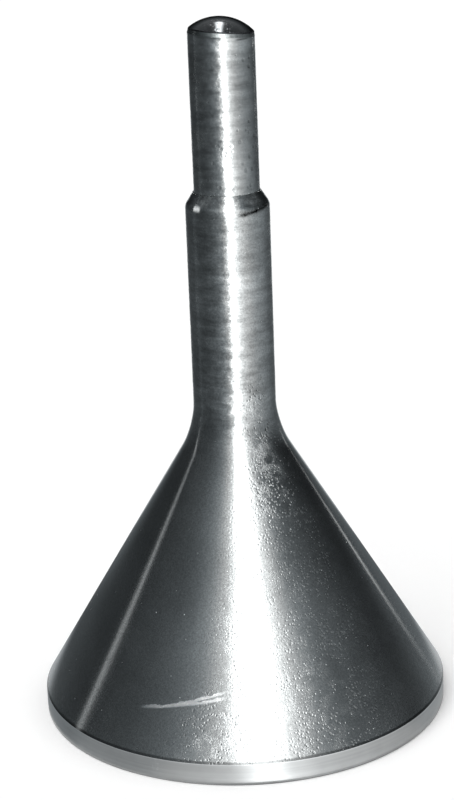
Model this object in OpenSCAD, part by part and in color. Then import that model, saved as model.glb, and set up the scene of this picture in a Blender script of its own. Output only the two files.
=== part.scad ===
// Bell centre punch: a steel bell that sits on the end of a round bar, with a
// sprung punch in its neck that marks the middle of the bar when it is hit.
// The bell stands on its rim at z = 0, and the punch moves down along the Z axis.
// All sizes are in millimetres and all angles in degrees.

/* [Bell] */
// Outside diameter of the rim
mouth_d = 64; // [58:0.5:72]
// Height of the straight rim band
rim_h = 3.4; // [2:0.1:5]
// Width of the flat face that the bell stands on
rim_land = 2.8; // [2:0.1:4]
// Size of the small bevel at the foot of the rim band
rim_bevel = 0.25; // [0.1:0.05:0.5]
// Angle of the outside of the cone, from the axis
outer_angle = 31.3; // [29:0.1:34]
// Angle of the inside of the cone, from the axis
inner_angle = 45; // [43:0.5:48]

/* [Neck] */
// Outside diameter of the neck
neck_d = 12.8; // [12.4:0.1:14]
// Height of the bell, from the rim to the mouth of the neck
bell_h = 82.2; // [78:0.2:90]
// Radius of the fillet between the neck and the cone
root_fillet = 14; // [8:0.5:18]
// Height of the slope at the top of the neck
shoulder_h = 1.9; // [1.4:0.1:3]
// Width of the flat ring that is left round the rod at the mouth of the neck
mouth_land = 0.12; // [0.1:0.02:0.3]
// Radius of the rounded corner between the slope and the neck
shoulder_round = 1.5; // [0.3:0.1:2]
// Length of the bore at the top of the neck that guides the rod
lip_h = 8.9; // [6:0.1:12]

/* [Rod] */
// Diameter of the rod that is struck
rod_d = 10; // [9.4:0.05:10.2]
// Straight length of the rod above the neck when the punch is up
rod_out = 23.9; // [23:0.1:30]
// Rise of the domed head
dome_h = 1.85; // [1:0.05:3]
// Width of the bevel round the domed head
head_bevel = 0.15; // [0.1:0.05:0.6]
// Height of the bevel round the domed head
head_bevel_h = 0.7; // [0.3:0.05:1.2]
// Diameter of the reduced lower end of the rod, inside the spring
spigot_d = 6.6; // [6:0.1:7]

/* [Stop ring and thrust washer] */
// Outside diameter of the stop ring
ring_d = 11; // [10.8:0.05:11.2]
// Thickness of the stop ring
ring_t = 1.5; // [1:0.1:3]
// Thickness of the thrust washer
washer_t = 0.8; // [0.5:0.1:1.5]

/* [Stem] */
// Diameter of the stem that carries the point
stem_d = 5; // [4.6:0.05:5.4]
// Full angle of the point
point_angle = 60; // [50:1:90]
// How far the point stays inside the bush when the punch is up
point_set_back = 0.2; // [0:0.1:1]
// Diameter of the stem's thread
stem_thread_d = 4; // [3.5:0.1:4.4]
// Length of the stem's thread
stem_thread_h = 10; // [6:0.5:12]
// Depth of each of the two spanner flats on the stem
flat_depth = 0.4; // [0.2:0.05:0.6]
// Length of the two spanner flats
flats_h = 5; // [3:0.5:8]

/* [Guide bush] */
// Outside diameter of the bush's thread
bush_d = 14; // [13:0.1:16]
// Length of the bush, on its outside
bush_h = 12.8; // [8:0.1:14]
// Diameter of the two holes for a pin spanner
spanner_hole_d = 2; // [1.5:0.1:2.4]
// Depth of the two holes, from the bush's conical face
spanner_hole_h = 3; // [2:0.1:4]

/* [Spring] */
// Diameter of the spring's wire
wire_d = 0.8; // [0.6:0.05:0.9]
// Number of turns, with the closed ones at both ends
spring_turns = 12; // [10:1:14]
// Pitch of the closed turns
closed_pitch = 1.3; // [1.25:0.05:1.5]

/* [Travel and fits] */
// How far the punch moves down
stroke = 22; // [18:0.5:23]
// Gap between the rod's lower end and the bush at the end of the stroke
end_gap = 0.1; // [0.05:0.05:0.5]
// Radial clearance of the rod in the neck, and of the stem in the bush
running_gap = 0.04; // [0.02:0.01:0.08]
// Radial clearance of the stop ring in the spring chamber
ring_gap = 0.1; // [0.08:0.01:0.15]
// Radial clearance of the thrust washer on the rod's lower end
washer_gap = 0.15; // [0.1:0.05:0.3]
// Radial clearance of the thrust washer in the spring chamber
washer_side_gap = 0.3; // [0.2:0.05:0.5]
// Radial clearance of the spring round the rod's lower end
spring_gap = 0.65; // [0.5:0.05:0.8]
// Pitch of both threads
thread_pitch = 0.7; // [0.5:0.05:1]
// Length of the runout at each end of a thread
thread_runout = 0.5; // [0.4:0.1:1]

/* [Hidden] */
$fn = 96;

// The bell
mouth_r = mouth_d / 2;
neck_r = neck_d / 2;
cone_mouth_r = mouth_r - rim_land;
// Height at which the plain cone would meet the neck
cone_top_z = rim_h + (mouth_r - neck_r) / tan(outer_angle);
shoulder_z = bell_h - shoulder_h;
guide_r = rod_d / 2 + running_gap;
mouth_top_r = guide_r + mouth_land;
chamber_r = ring_d / 2 + ring_gap;
lip_z = bell_h - lip_h;
// Turn of the slope at the top of the neck, from the axis
shoulder_angle = atan2(neck_r - mouth_top_r, shoulder_h);

// The bush, whose lower face carries on the inside of the cone
bush_r = bush_d / 2;
bush_edge_z = inner_cone_z(bush_r);
bush_top_z = bush_edge_z + bush_h;
stem_bore_r = stem_d / 2 + running_gap;
bush_mouth_z = inner_cone_z(stem_bore_r);
// Depth of a thread's rings, as a share of the pitch of a 60 degree thread
thread_depth = 0.6 * thread_pitch;
// The spanner holes lie in the middle of the bush's wall
spanner_r = (stem_bore_r + bush_r - thread_depth) / 2;

// The punch
rod_r = rod_d / 2;
head_z = bell_h + rod_out;
ring_z = lip_z - ring_t;
washer_z = ring_z - washer_t;
spigot_r = spigot_d / 2;
spigot_z = bush_top_z + stroke + end_gap;
stem_r = stem_d / 2;
point_z = bush_mouth_z + point_set_back;
point_h = stem_r / tan(point_angle / 2);
// Radius of the sphere that rounds the head
dome_r = rod_r - head_bevel;
dome_sphere_r = (dome_r * dome_r + dome_h * dome_h) / (2 * dome_h);
// Room left above the stem's thread in the rod
thread_room = 1;
// Bevel on hidden edges
edge_bevel = 0.3;
// How far a cut runs past a face
past = 1;
// Steps in which each rounded stretch of an outline is drawn
ROOT_STEPS = 12;
SHOULDER_STEPS = 6;
DOME_STEPS = 12;

// The spring
wire_r = wire_d / 2;
coil_r = spigot_r + spring_gap + wire_r;
RINGS_A_TURN = 8;
WIRE_SIDES = 6;
// Share of the wire's thickness that is ground away at each end of the spring
ground_share = 0.35;
closed_turns = 1.5;
spring_low = bush_top_z + wire_r - ground_share * wire_d;
spring_high = washer_z - wire_r + ground_share * wire_d;

// Height at which the inside of the cone has the radius r
function inner_cone_z(r) = (cone_mouth_r - r) / tan(inner_angle);

// Points on an arc about [x, z], from the angle a to the angle b
function arc(x, z, r, a, b, steps) =
    [for (i = [0 : steps]) let (t = a + (b - a) * i / steps) [x + r * cos(t), z + r * sin(t)]];

// Arc that rounds the corner between the neck, above, and the cone, below
function root_arc() =
    let (reach = root_fillet * tan(outer_angle / 2))
    arc(neck_r + root_fillet, cone_top_z + reach, root_fillet, 180 + outer_angle, 180, ROOT_STEPS);

// Arc that rounds the corner between the neck, below, and the slope, above
function shoulder_arc() =
    let (reach = shoulder_round * tan(shoulder_angle / 2))
    arc(neck_r - shoulder_round, shoulder_z - reach, shoulder_round, 0, shoulder_angle, SHOULDER_STEPS);

// Arc of the rod's domed head, from its edge to its top
function dome_arc() =
    let (edge_angle = acos(dome_r / dome_sphere_r))
    arc(0, head_z + dome_h - dome_sphere_r, dome_sphere_r, edge_angle, 90, DOME_STEPS);

// Points of a thread's rings at the radius r, as many as fit from the height low up to high
function thread_rings(r, low, high) =
    let (count = floor((high - low) / thread_pitch))
    [for (i = [0 : 2 * count])
        [r - i % 2 * thread_depth, low + i / 2 * thread_pitch]];

module bell() {
    color("slategray")
    rotate_extrude()
    polygon(concat(
        [
            [cone_mouth_r, 0],
            [mouth_r - rim_bevel, 0],
            [mouth_r, rim_bevel],
            [mouth_r, rim_h]
        ],
        root_arc(),
        shoulder_arc(),
        [
            [mouth_top_r, bell_h],
            [guide_r, bell_h],
            [guide_r, lip_z],
            [chamber_r, lip_z],
            [chamber_r, bush_top_z],
            [bush_r, bush_top_z],
            [bush_r, bush_edge_z]
        ]
    ));
}

// Bush with a ring thread on its outside, drilled for the stem and for a pin spanner
module guide_bush() {
    color("darkkhaki")
    difference() {
        rotate_extrude()
        polygon(concat(
            [
                [stem_bore_r, bush_mouth_z],
                [bush_r, bush_edge_z]
            ],
            thread_rings(bush_r, bush_edge_z + thread_runout, bush_top_z - thread_runout),
            [
                [bush_r, bush_top_z - edge_bevel],
                [bush_r - edge_bevel, bush_top_z],
                [stem_bore_r, bush_top_z]
            ]
        ));
        for (side = [-1, 1])
            translate([side * spanner_r, 0, inner_cone_z(spanner_r) - past])
            cylinder(d = spanner_hole_d, h = spanner_hole_h + past, $fn = 48);
    }
}

module thrust_washer() {
    color("silver")
    translate([0, 0, washer_z])
    difference() {
        cylinder(r = chamber_r - washer_side_gap, h = washer_t);
        translate([0, 0, -past])
        cylinder(r = spigot_r + washer_gap, h = washer_t + 2 * past);
    }
}

module stop_ring() {
    color("dimgray")
    translate([0, 0, ring_z])
    difference() {
        cylinder(d = ring_d, h = ring_t);
        translate([0, 0, -past])
        cylinder(r = spigot_r, h = ring_t + 2 * past);
    }
}

// Rod with a domed head, a reduced lower end and a tapped hole for the stem
module striker_rod() {
    color("lightslategray")
    rotate_extrude()
    polygon(concat(
        [
            [stem_thread_d / 2, spigot_z],
            [spigot_r - edge_bevel, spigot_z],
            [spigot_r, spigot_z + edge_bevel],
            [spigot_r, lip_z],
            [rod_r, lip_z],
            [rod_r, head_z - head_bevel_h]
        ],
        dome_arc(),
        [
            [0, spigot_z + stem_thread_h + thread_room],
            [stem_thread_d / 2, spigot_z + stem_thread_h + thread_room]
        ]
    ));
}

// Hardened pin with the point below, two spanner flats and a ring thread above
module punch_stem() {
    thread_r = stem_thread_d / 2;
    thread_top = spigot_z + stem_thread_h;
    color("gray")
    difference() {
        rotate_extrude()
        polygon(concat(
            [
                [0, point_z],
                [stem_r, point_z + point_h],
                [stem_r, spigot_z],
                [thread_r, spigot_z]
            ],
            thread_rings(thread_r, spigot_z + thread_runout, thread_top - thread_runout),
            [
                [thread_r, thread_top - edge_bevel],
                [thread_r - edge_bevel, thread_top],
                [0, thread_top]
            ]
        ));
        for (side = [-1, 1])
            translate([0, side * (stem_d - flat_depth), spigot_z - flats_h / 2 - edge_bevel])
            cube([stem_d + past, stem_d, flats_h], center = true);
    }
}

// Pitch of the open turns between the closed ones
function open_pitch() =
    (spring_high - spring_low - 2 * closed_turns * closed_pitch) / (spring_turns - 2 * closed_turns);

// Height of the wire's middle after a number of turns
function spring_z(turn) =
    turn < closed_turns
        ? spring_low + turn * closed_pitch
        : turn > spring_turns - closed_turns
            ? spring_high - (spring_turns - turn) * closed_pitch
            : spring_low + closed_turns * closed_pitch + (turn - closed_turns) * open_pitch();

// One ring of points round the wire, ground flat where it would pass the bush or the washer
function wire_ring(turn) =
    let (a = 360 * turn, z = spring_z(turn))
    [for (k = [0 : WIRE_SIDES - 1])
        let (t = 360 * k / WIRE_SIDES, r = coil_r + wire_r * cos(t))
        [r * cos(a), r * sin(a), min(max(z + wire_r * sin(t), bush_top_z), washer_z)]];

// Least gap between two turns that lie on each other, measured on the rings' own points
function least_gap(rings) =
    min([for (i = [0 : len(rings) - 1 - RINGS_A_TURN], j = [RINGS_A_TURN - 1 : RINGS_A_TURN + 1])
        let (upper = rings[min(i + j, len(rings) - 1)])
        min([for (p = rings[i], q = upper) norm(p - q)])]);

module return_spring() {
    last = spring_turns * RINGS_A_TURN;
    rings = [for (i = [0 : last]) wire_ring(i / RINGS_A_TURN)];
    echo(least_gap_of_spring = least_gap(rings));
    start = [for (k = [0 : WIRE_SIDES - 1]) k];
    color("steelblue")
    polyhedron(
        points = [for (ring = rings, p = ring) p],
        faces = concat(
            [for (k = [1 : WIRE_SIDES - 2]) [0, k, k + 1]],
            [for (i = [0 : last - 1], k = start)
                let (a = i * WIRE_SIDES + k, b = i * WIRE_SIDES + (k + 1) % WIRE_SIDES)
                [a, a + WIRE_SIDES, b]],
            [for (i = [0 : last - 1], k = start)
                let (a = i * WIRE_SIDES + k, b = i * WIRE_SIDES + (k + 1) % WIRE_SIDES)
                [b, a + WIRE_SIDES, b + WIRE_SIDES]],
            [for (k = [1 : WIRE_SIDES - 2])
                let (s = last * WIRE_SIDES)
                [s, s + k + 1, s + k]]
        )
    );
}

bell();
guide_bush();
return_spring();
thrust_washer();
striker_rod();
stop_ring();
punch_stem();
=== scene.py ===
"""Bell centre punch: its pieces, its steel and a plain studio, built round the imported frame."""

import logging
import math
from collections.abc import Callable, Sequence
from dataclasses import dataclass
from enum import Enum

import bmesh
import bpy
from mathutils import Matrix


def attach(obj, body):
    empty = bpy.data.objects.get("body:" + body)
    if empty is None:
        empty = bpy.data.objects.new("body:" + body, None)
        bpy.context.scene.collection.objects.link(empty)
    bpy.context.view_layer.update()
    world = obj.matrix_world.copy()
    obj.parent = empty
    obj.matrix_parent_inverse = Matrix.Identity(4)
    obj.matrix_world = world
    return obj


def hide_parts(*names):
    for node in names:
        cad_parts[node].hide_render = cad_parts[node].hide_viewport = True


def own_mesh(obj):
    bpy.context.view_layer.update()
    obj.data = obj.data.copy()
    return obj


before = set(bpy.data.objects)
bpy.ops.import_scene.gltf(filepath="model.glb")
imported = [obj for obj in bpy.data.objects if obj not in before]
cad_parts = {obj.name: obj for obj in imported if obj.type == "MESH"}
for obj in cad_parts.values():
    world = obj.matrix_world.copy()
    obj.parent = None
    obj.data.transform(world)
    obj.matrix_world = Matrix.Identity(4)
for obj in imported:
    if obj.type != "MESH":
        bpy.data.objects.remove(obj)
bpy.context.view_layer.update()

log = logging.getLogger("centre_punch")

MM = 0.001
MICRON_IN_MM = 0.001
WELD = 1e-7
RING_REACH = 0.004
THREAD_DEPTH = 0.6
THREAD_HAIR = 1e-6
QUARTER_TURN = 0.25
WHITE = (1.0, 1.0, 1.0, 1.0)

Piece = bpy.types.Object
Socket = bpy.types.NodeSocket
Tree = bpy.types.NodeTree
Feed = float | tuple | Socket
Outputs = bpy.types.bpy_prop_collection
Wanted = Callable[[float, float], bool]
Span = tuple[float, float, float, float]


class Body(Enum):
    """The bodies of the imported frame."""

    BELL = "bell"
    CARRIER = "spring_carrier"
    PUNCH = "punch"


class Slot(Enum):
    """The record's material slots."""

    BELL = "bell_steel"
    ROD = "rod_steel"
    BUSH = "bush_steel"
    HARDENED = "hardened_steel"
    SPRING = "spring_steel"


@dataclass(frozen=True)
class Corner:
    """One ring of a turned outline, in millimetres, and how its edge is rounded."""

    radius: float
    height: float
    rounding: float = 0.0
    steps: int = 3


def arc_corners(middle: float, radius: float, start: float, end: float, steps: int) -> list[Corner]:
    """Lays rings along an arc of an outline.

    Args:
        middle: Height of the arc's centre, which lies on the axis, in millimetres.
        radius: Radius of the arc, in millimetres.
        start: First angle, in radians from the level.
        end: Last angle, in radians.
        steps: Number of steps from the first ring to the last.

    Returns:
        The rings, the first and the last included.
    """
    angles = [start + (end - start) * i / steps for i in range(steps + 1)]
    return [Corner(radius * math.cos(a), middle + radius * math.sin(a)) for a in angles]


def thread_corners(radius: float, low: float, high: float, pitch: float) -> list[Corner]:
    """Lays the rings of a thread, crest and root in turn, as many as fit.

    Args:
        radius: Outside radius of the thread, in millimetres.
        low: Height of the first crest.
        high: Height that the last crest stays under.
        pitch: Distance between two crests.

    Returns:
        The rings from the lowest crest to the highest.
    """
    depth = THREAD_DEPTH * pitch
    count = math.floor((high - low) / pitch + THREAD_HAIR)
    return [Corner(radius - (i % 2) * depth, low + i / 2 * pitch) for i in range(2 * count + 1)]


class Hand:
    """What a modeller does by hand: picks parts of a piece by their place and works on them."""

    @staticmethod
    def let_go() -> None:
        """Leaves edit mode and deselects every object."""
        if bpy.context.mode != "OBJECT":
            bpy.ops.object.mode_set(mode="OBJECT")
        bpy.ops.object.select_all(action="DESELECT")

    @classmethod
    def take(cls, piece: Piece) -> None:
        """Makes one piece the only selected and active object.

        Args:
            piece: The piece to take.
        """
        cls.let_go()
        piece.select_set(True)
        bpy.context.view_layer.objects.active = piece

    @staticmethod
    def open_mesh(action: str = "SELECT") -> None:
        """Opens the active piece's mesh, with all of it selected or none."""
        bpy.ops.object.mode_set(mode="EDIT")
        bpy.ops.mesh.select_all(action=action)

    @staticmethod
    def name_new(name: str) -> Piece:
        """Names the new primitive and brings its place into its mesh.

        Args:
            name: Name of the object and of its mesh.

        Returns:
            The object, at the origin.
        """
        piece = bpy.context.active_object
        piece.name = piece.data.name = name
        bpy.ops.object.transform_apply(location=True, rotation=True, scale=True)
        return piece

    @staticmethod
    def pick(piece: Piece, wanted: Wanted, faces: bool = False) -> None:
        """Selects the vertices, or the faces by their middle, that lie where they are wanted.

        Args:
            piece: The piece, in edit mode.
            wanted: Says yes or no to a radius and a height, in millimetres.
            faces: Whether faces are picked, and not vertices.
        """
        mesh = bmesh.from_edit_mesh(piece.data)
        for part in mesh.faces if faces else mesh.verts:
            corners = part.verts if faces else (part,)
            radius = sum(math.hypot(v.co.x, v.co.y) / MM for v in corners) / len(corners)
            part.select_set(wanted(radius, sum(v.co.z / MM for v in corners) / len(corners)))
        if not faces:
            mesh.select_flush(True)
            mesh.select_flush(False)
        bmesh.update_edit_mesh(piece.data)

    @classmethod
    def pick_ring(cls, piece: Piece, ring: Corner) -> None:
        """Selects the ring of vertices at an outline's corner."""
        reach = RING_REACH
        cls.pick(piece, lambda r, h: abs(r - ring.radius) < reach and abs(h - ring.height) < reach)

    @staticmethod
    def lift(rise: float) -> None:
        """Extrudes what is selected upwards, by a height in millimetres."""
        bpy.ops.mesh.extrude_region_move(TRANSFORM_OT_translate={"value": (0, 0, rise * MM)})

    @classmethod
    def tidy_mesh(cls, piece: Piece, smooth_under: float = 35.0) -> None:
        """Closes seams, turns the faces outwards and shades the piece.

        Args:
            piece: The piece to finish.
            smooth_under: Edges that turn by less than this, in degrees, are shaded smooth.
        """
        cls.take(piece)
        cls.open_mesh()
        bpy.ops.mesh.remove_doubles(threshold=WELD)
        bpy.ops.mesh.normals_make_consistent(inside=False)
        bpy.ops.object.mode_set(mode="OBJECT")
        bpy.ops.object.shade_smooth_by_angle(angle=math.radians(smooth_under))

    @classmethod
    def modify(cls, piece: Piece, kind: str, **settings: object) -> None:
        """Gives a piece a modifier and applies it.

        Args:
            piece: The piece to change.
            kind: The modifier's type.
            settings: Values for its own properties.
        """
        cls.take(piece)
        bpy.ops.object.modifier_add(type=kind)
        modifier = piece.modifiers[-1]
        for key, value in settings.items():
            setattr(modifier, key, value)
        bpy.ops.object.modifier_apply(modifier=modifier.name)

    @classmethod
    def weigh_normals(cls, piece: Piece) -> None:
        """Keeps the shading of long faces clean beside small rounded edges."""
        cls.modify(piece, "WEIGHTED_NORMAL", weight=100, keep_sharp=True)

    @classmethod
    def cut_away(cls, piece: Piece, cutter: Piece) -> None:
        """Cuts one object's shape out of a piece and removes the cutter.

        Args:
            piece: The piece to cut.
            cutter: The object that has the shape of the hole.
        """
        cls.modify(piece, "BOOLEAN", operation="DIFFERENCE", solver="EXACT", object=cutter)
        cls.take(cutter)
        bpy.ops.object.delete()


@dataclass(frozen=True)
class Lathe:
    """Turns outlines about the Z axis, ring by ring, with a number of segments in each."""

    segments: int = 192

    def turn(
        self, name: str, outline: Sequence[Corner], start_pole: float | None = None,
        end_pole: float | None = None,
    ) -> Piece:
        """Turns an outline into a piece. Without a pole, its last ring joins its first.

        Args:
            name: Name of the piece.
            outline: The rings, in order.
            start_pole: Height of the point that closes the first ring, or None.
            end_pole: Height of the point that closes the last ring, or None.

        Returns:
            The piece, in object mode, at the origin.
        """
        Hand.let_go()
        first, last = outline[0], outline[-1]
        closed = end_pole is None
        bpy.ops.mesh.primitive_circle_add(
            vertices=self.segments, radius=first.radius * MM, fill_type="NOTHING",
            location=(0, 0, first.height * MM),
        )
        piece = Hand.name_new(name)
        Hand.open_mesh()
        path = [*outline, first] if closed else list(outline)
        for here, there in zip(path, path[1:]):
            Hand.lift(there.height - here.height)
            share = there.radius / here.radius
            if share != 1:
                bpy.ops.transform.resize(value=(share, share, 1), center_override=(0, 0, 0))
        for corner, pole in ((first, start_pole), (last, end_pole)):
            if pole is not None:
                Hand.pick_ring(piece, corner)
                Hand.lift(pole - corner.height)
                bpy.ops.mesh.merge(type="CENTER")
        bpy.ops.mesh.select_all(action="SELECT")
        bpy.ops.mesh.remove_doubles(threshold=WELD)
        ends = (last, first) if closed else (Corner(0, start_pole or 0), Corner(0, end_pole))
        self.round_corners(piece, [ends[0], *outline, ends[1]])
        return piece

    @staticmethod
    def round_corners(piece: Piece, path: Sequence[Corner]) -> None:
        """Bevels each ring that has a rounding, to the radius that it gives.

        Args:
            piece: The piece, in edit mode.
            path: Its rings, after the one that comes before and with the one that comes next.
        """
        for low, corner, high in zip(path, path[1:], path[2:]):
            if not corner.rounding:
                continue
            come = math.atan2(corner.height - low.height, corner.radius - low.radius)
            leave = math.atan2(high.height - corner.height, high.radius - corner.radius)
            bend = abs(math.remainder(leave - come, math.tau))
            Hand.pick_ring(piece, corner)
            bpy.ops.mesh.bevel(
                offset_type="OFFSET", offset=corner.rounding * math.tan(bend / 2) * MM,
                segments=corner.steps, profile=0.5, affect="EDGES",
            )
        bpy.ops.object.mode_set(mode="OBJECT")


@dataclass(frozen=True)
class NodeBench:
    """Adds and joins the nodes of one node tree."""

    tree: Tree

    @classmethod
    def cleared(cls, owner: bpy.types.Material | bpy.types.World) -> "NodeBench":
        """Empties the node tree of a material or a world.

        Args:
            owner: The material or the world.

        Returns:
            The bench for its new nodes.
        """
        owner.use_nodes = True
        owner.node_tree.nodes.clear()
        return cls(owner.node_tree)

    def add(
        self, kind: str, feeds: dict[int | str, Feed] | None = None, **settings: object
    ) -> bpy.types.Node:
        """Adds a node.

        Args:
            kind: The node's type name.
            feeds: For its inputs, sockets to link or values to set.
            settings: Values for its own properties.

        Returns:
            The new node.
        """
        node = self.tree.nodes.new(kind)
        for key, value in settings.items():
            setattr(node, key, value)
        for socket, value in (feeds or {}).items():
            if isinstance(value, Socket):
                self.tree.links.new(value, node.inputs[socket])
            else:
                node.inputs[socket].default_value = value
        return node

    def math(self, operation: str, *feeds: Feed) -> Socket:
        """Adds a Math node and returns its output."""
        return self.add("ShaderNodeMath", dict(enumerate(feeds)), operation=operation).outputs[0]

    def times(self, first: Feed, second: Feed) -> Socket:
        """Multiplies two values."""
        return self.math("MULTIPLY", first, second)

    def onto(self, value: Feed, factor: Feed, base: Feed) -> Socket:
        """Multiplies a value by a factor and adds it onto a base."""
        return self.math("MULTIPLY_ADD", value, factor, base)

    def less(self, first: Feed, second: Feed) -> Socket:
        """Takes the second value away from the first."""
        return self.math("SUBTRACT", first, second)

    def apart(self, first: Feed, second: Feed) -> Socket:
        """Gives how far two values are apart."""
        return self.math("ABSOLUTE", self.less(first, second))

    def blend(self, share: Feed, first: Feed, second: Feed) -> Socket:
        """Goes from the first value to the second as a share goes from 0 to 1."""
        return self.onto(share, self.less(second, first), first)

    def change(self, value: Feed, mask: Feed, gain: float) -> Socket:
        """Multiplies a value by 1 plus a gain, where the mask is 1."""
        return self.times(value, self.onto(mask, gain, 1.0))

    def vector(self, operation: str, feeds: dict[int | str, Feed]) -> Socket:
        """Adds a Vector Math node and returns its vector."""
        return self.add("ShaderNodeVectorMath", feeds, operation=operation).outputs[0]

    def span(self, value: Feed, *ends: Feed) -> Socket:
        """Maps a value smoothly from the range of the first two ends to that of the others."""
        feeds = dict(enumerate((value, *ends)))
        return self.add("ShaderNodeMapRange", feeds, interpolation_type="SMOOTHSTEP").outputs[0]

    def near(
        self, value: Feed, middle: Feed, half: float, soft: float, rest: float = 0.0
    ) -> Socket:
        """Gives 1 near a value and less away from it.

        Args:
            value: The value to test.
            middle: The value at which the outcome is surely 1.
            half: How far 1 reaches to each side.
            soft: How far it takes to fade beyond that.
            rest: The outcome farther away.

        Returns:
            The outcome, from rest to 1.
        """
        return self.span(self.apart(value, middle), half, half + soft, 1.0, rest)

    def noise(
        self, place: Feed, scale: Feed, detail: float, roughness: float, fourth: Feed | None = None,
    ) -> Socket:
        """Adds a noise of three dimensions, or of four.

        Args:
            place: The point.
            scale: How many grains fit into a metre.
            detail: How many finer noises are laid over the first.
            roughness: How much the finer ones count.
            fourth: The fourth coordinate, or None.

        Returns:
            The noise's value.
        """
        feeds = {"Vector": place, "Scale": scale, "Detail": detail, "Roughness": roughness}
        if fourth is not None:
            feeds["W"] = fourth
        size = "3D" if fourth is None else "4D"
        return self.add("ShaderNodeTexNoise", feeds, noise_dimensions=size).outputs[0]

    def cells(self, place: Feed, scale: Feed) -> Outputs:
        """Adds a pattern of cells and returns its outputs."""
        return self.add("ShaderNodeTexVoronoi", {"Vector": place, "Scale": scale}).outputs

    def round_axis(self, place: Feed) -> tuple[Outputs, Socket]:
        """Gives a place's parts, and its angle to the right of the camera, in radians."""
        parts = self.add("ShaderNodeSeparateXYZ", {0: place}).outputs
        return parts, self.math("ARCTAN2", parts["X"], self.times(parts["Y"], -1.0))

    def group(self, tree: Tree, feeds: dict[str, Feed]) -> Outputs:
        """Places a node group with its own values and returns its outputs."""
        return self.add("ShaderNodeGroup", feeds, node_tree=tree).outputs


class Effect:
    """A shader node group that several finishes use."""

    def __init__(self, name: str, feeds: dict[str, float]) -> None:
        """Starts a group with a place and named values.

        Args:
            name: Name of the group.
            feeds: Its number inputs, and the value that each has until it is set.
        """
        self.tree = bpy.data.node_groups.new(name, "ShaderNodeTree")
        face = self.tree.interface
        face.new_socket("Place", in_out="INPUT", socket_type="NodeSocketVector")
        for label, value in feeds.items():
            socket = face.new_socket(label, in_out="INPUT", socket_type="NodeSocketFloat")
            socket.default_value = value
        self.bench = NodeBench(self.tree)
        self.given = self.bench.add("NodeGroupInput").outputs

    def close(self, **results: Feed) -> Tree:
        """Sends the group's results out.

        Args:
            results: The values, by the names of the outputs.

        Returns:
            The group.
        """
        for label in results:
            self.tree.interface.new_socket(label, in_out="OUTPUT", socket_type="NodeSocketFloat")
        self.bench.add("NodeGroupOutput", results)
        return self.tree


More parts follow.
